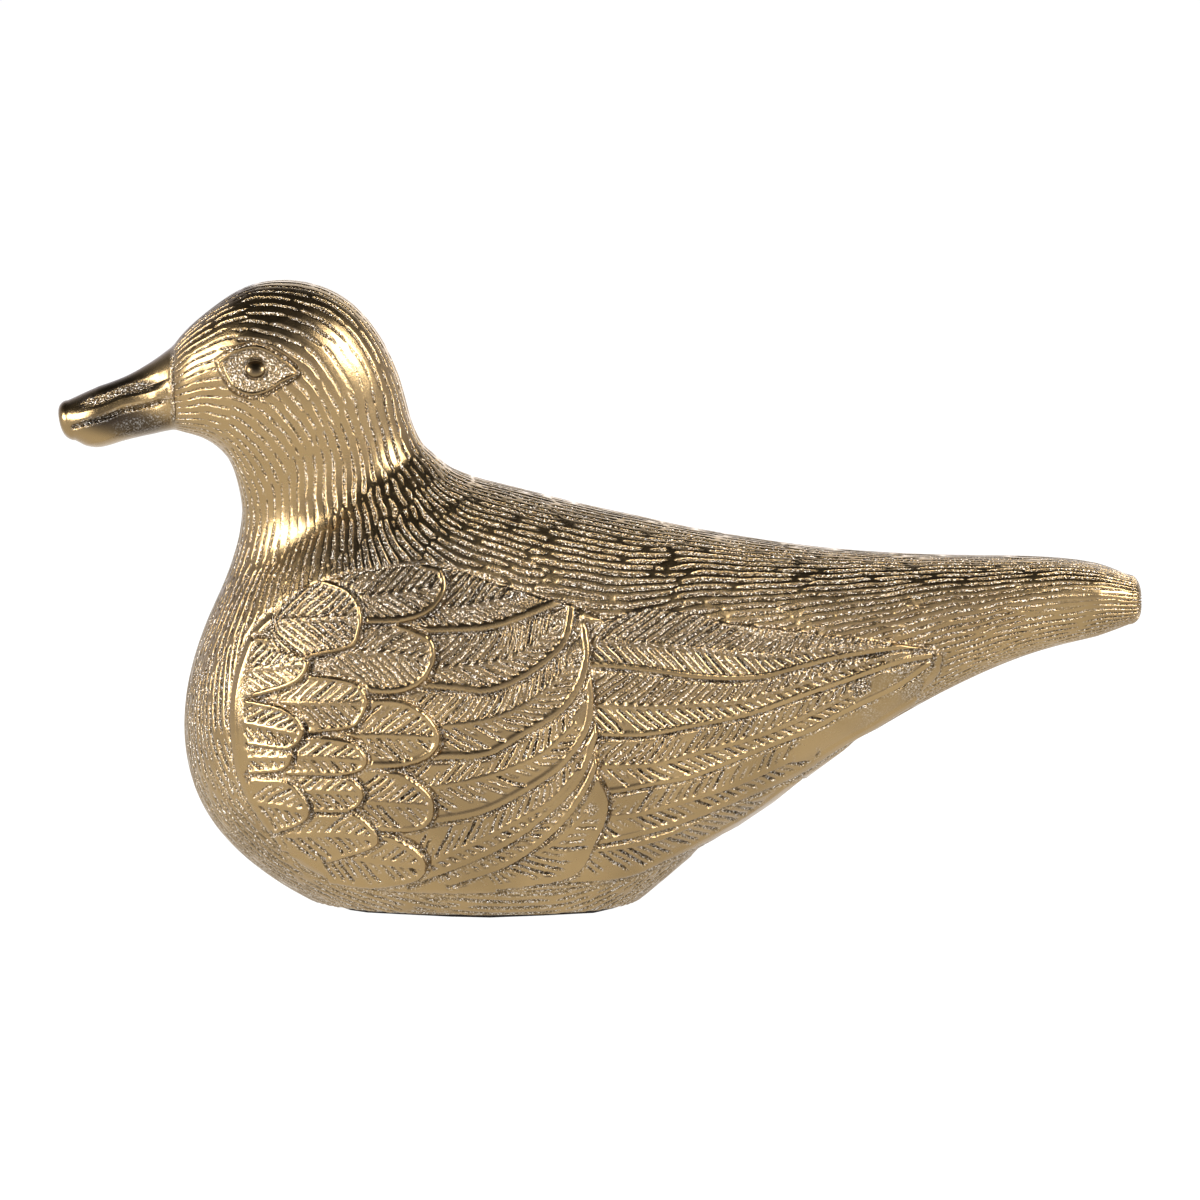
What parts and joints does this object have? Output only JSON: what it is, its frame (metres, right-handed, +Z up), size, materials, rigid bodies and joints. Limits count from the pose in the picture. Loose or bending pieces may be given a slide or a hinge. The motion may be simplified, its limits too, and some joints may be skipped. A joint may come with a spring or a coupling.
{
  "type": "cast brass duck ornament",
  "caption": "Solid-looking resting duck ornament in sand-cast brass, with carved feathers and a felt-covered flat sole that it stands on.",
  "frame": {"origin": "on the table, under the middle of the duck's bounding box", "axes": "+X from the bill towards the tail, +Y out of the duck's right flank, +Z up"},
  "size_m": [0.3049, 0.1, 0.176],
  "materials": {
    "cast_brass": "pale antique gold, sand-cast grain, carved and brushed",
    "braze": "dressed flush and finished like the casting",
    "felt": "black felt"
  },
  "bodies": {
    "root": {"left_casting": "cast_brass", "right_casting": "cast_brass", "brazed_seam": "braze", "felt_pad": "felt"}
  },
  "joints": []
}
